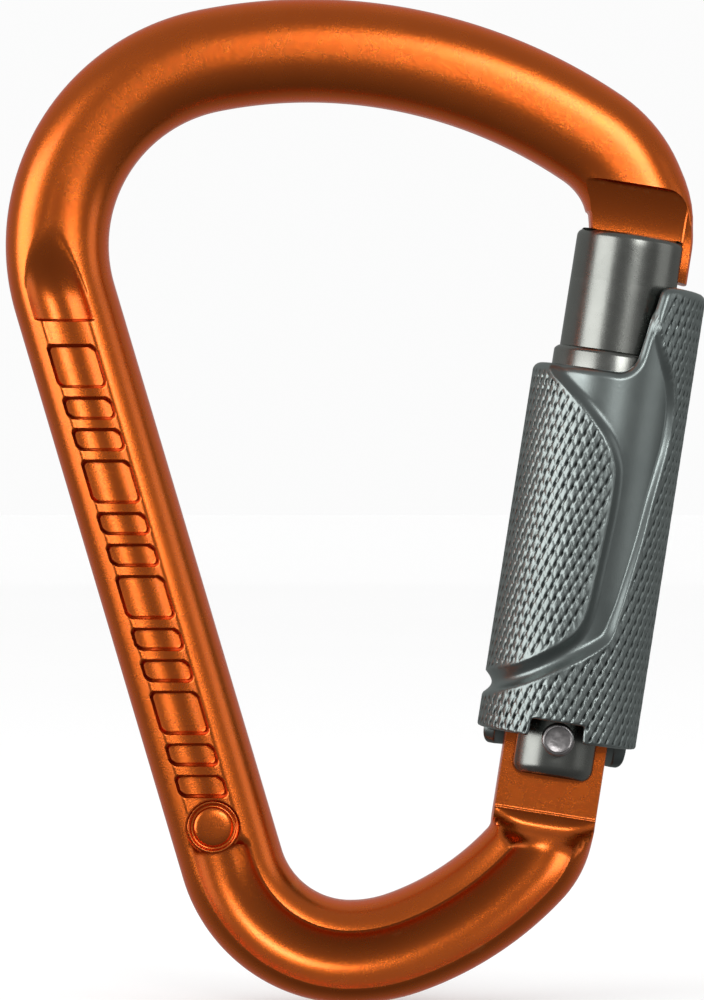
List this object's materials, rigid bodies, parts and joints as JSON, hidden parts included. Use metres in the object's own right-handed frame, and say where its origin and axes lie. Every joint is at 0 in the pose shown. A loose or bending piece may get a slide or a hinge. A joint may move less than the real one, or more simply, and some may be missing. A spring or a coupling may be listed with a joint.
{
  "type": "locking carabiner",
  "caption": "Pear-shaped forged carabiner with a sprung hinged gate and a knurled locking sleeve that lifts and turns.",
  "frame": {"origin": "the crown of the wide basket's inner surface, where a rope bears, midway between the faces", "axes": "+X across the loop towards the gate, +Z towards the wide end, -Y out of the front face"},
  "size_m": [0.0804, 0.0184, 0.1153],
  "materials": {
    "anodised_orange": "satin orange anodising over forged aluminium, with a fine sparkle",
    "anodised_grey": "satin grey-green hard anodising on turned aluminium",
    "knurled_grey": "knurled grey-green hard anodising, smooth in the relief cuts",
    "bright_steel": "turned stainless steel",
    "spring_steel": "drawn spring wire",
    "liner_polymer": "dark moulded acetal"
  },
  "bodies": {
    "frame": {"body": "anodised_orange"},
    "gate": {"gate_tube": "anodised_grey", "hinge_rivet": "bright_steel", "guide_collar": "anodised_grey", "guide_pin": "bright_steel", "spring_seat": "bright_steel", "gate_spring": "spring_steel", "sleeve_spring": "spring_steel"},
    "plunger": {"gate_plunger": "bright_steel"},
    "sleeve_carrier": {"thrust_washer": "bright_steel"},
    "sleeve": {"locking_sleeve": "knurled_grey", "cam_insert": "liner_polymer"}
  },
  "joints": [
    {"name": "gate_hinge", "type": "hinge", "parent": "frame", "child": "gate", "pos_m": [0.02844, 0, -0.07294], "axis": [0, -1, 0], "range_deg": [0, 27], "stiffness_Nm_per_rad": 0.1, "springref_deg": -45.84},
    {"name": "plunger_slide", "type": "slide", "parent": "gate", "child": "plunger", "axis": [0.1547, 0, 0.988], "range_m": [0, 0.000798], "deforming": ["gate_spring"]},
    {"name": "sleeve_lift", "type": "slide", "parent": "gate", "child": "sleeve_carrier", "axis": [0.1547, 0, 0.988], "range_m": [0, 0.0039], "stiffness_N_per_m": 1500, "springref_m": -0.004, "deforming": ["sleeve_spring"]},
    {"name": "sleeve_twist", "type": "hinge", "parent": "sleeve_carrier", "child": "sleeve", "pos_m": [0.02844, 0, -0.07294], "axis": [0.1547, 0, 0.988], "range_deg": [-90, 90], "stiffness_Nm_per_rad": 0.02}
  ],
  "couplings": [
    {"joint": "plunger_slide", "follows": "gate_hinge", "m_per_rad": 0.0016519}
  ]
}
